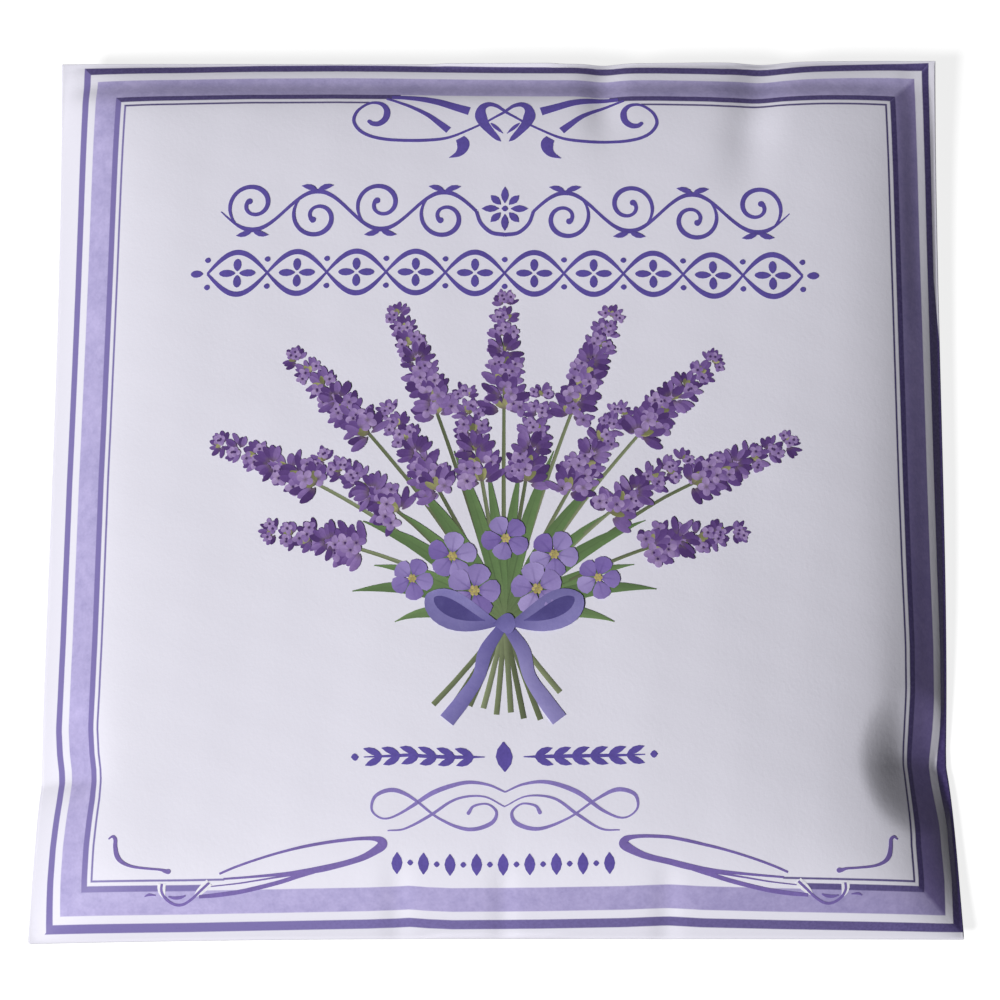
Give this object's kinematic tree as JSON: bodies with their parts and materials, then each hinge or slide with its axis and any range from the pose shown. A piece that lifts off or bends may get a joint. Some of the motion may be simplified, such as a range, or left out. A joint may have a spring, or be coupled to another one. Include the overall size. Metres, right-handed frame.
{
  "type": "lavender sachet",
  "caption": "Flat square paper sachet with a lapped back seam, a turned-up bottom flap, a glued mouth and a soft filling of scented grains.",
  "frame": {"origin": "on the surface that the sachet lies on, under the middle of the envelope", "axes": "+Z out of the printed face, +Y towards the glued mouth at the top of the print, +X to the right of the print"},
  "size_m": [0.11, 0.11, 0.0127],
  "materials": {
    "printed_paper": "satin, printed with a lavender border, scrolls and a posy",
    "plain_paper": "matt, unprinted pale lavender-white",
    "dried_adhesive": "satin, translucent cream",
    "fine_grains": "matt, granular",
    "coarse_flake": "satin, layered and flaky"
  },
  "bodies": {
    "root": {"front_panel": "printed_paper", "back_panel_left": "plain_paper", "back_panel_right": "plain_paper", "bottom_flap": "plain_paper", "centre_seam_adhesive": "dried_adhesive", "bottom_flap_adhesive": "dried_adhesive", "mouth_adhesive": "dried_adhesive", "grain_bed": "fine_grains", "vermiculite_flake_01": "coarse_flake", "vermiculite_flake_02": "coarse_flake", "vermiculite_flake_03": "coarse_flake", "vermiculite_flake_04": "coarse_flake", "vermiculite_flake_05": "coarse_flake", "vermiculite_flake_06": "coarse_flake", "vermiculite_flake_07": "coarse_flake", "vermiculite_flake_08": "coarse_flake", "vermiculite_flake_09": "coarse_flake", "vermiculite_flake_10": "coarse_flake", "vermiculite_flake_11": "coarse_flake", "vermiculite_flake_12": "coarse_flake", "vermiculite_flake_13": "coarse_flake", "vermiculite_flake_14": "coarse_flake", "vermiculite_flake_15": "coarse_flake", "vermiculite_flake_16": "coarse_flake", "vermiculite_flake_17": "coarse_flake", "vermiculite_flake_18": "coarse_flake", "vermiculite_flake_19": "coarse_flake", "vermiculite_flake_20": "coarse_flake", "vermiculite_flake_21": "coarse_flake", "vermiculite_flake_22": "coarse_flake", "vermiculite_flake_23": "coarse_flake", "vermiculite_flake_24": "coarse_flake"}
  },
  "joints": []
}
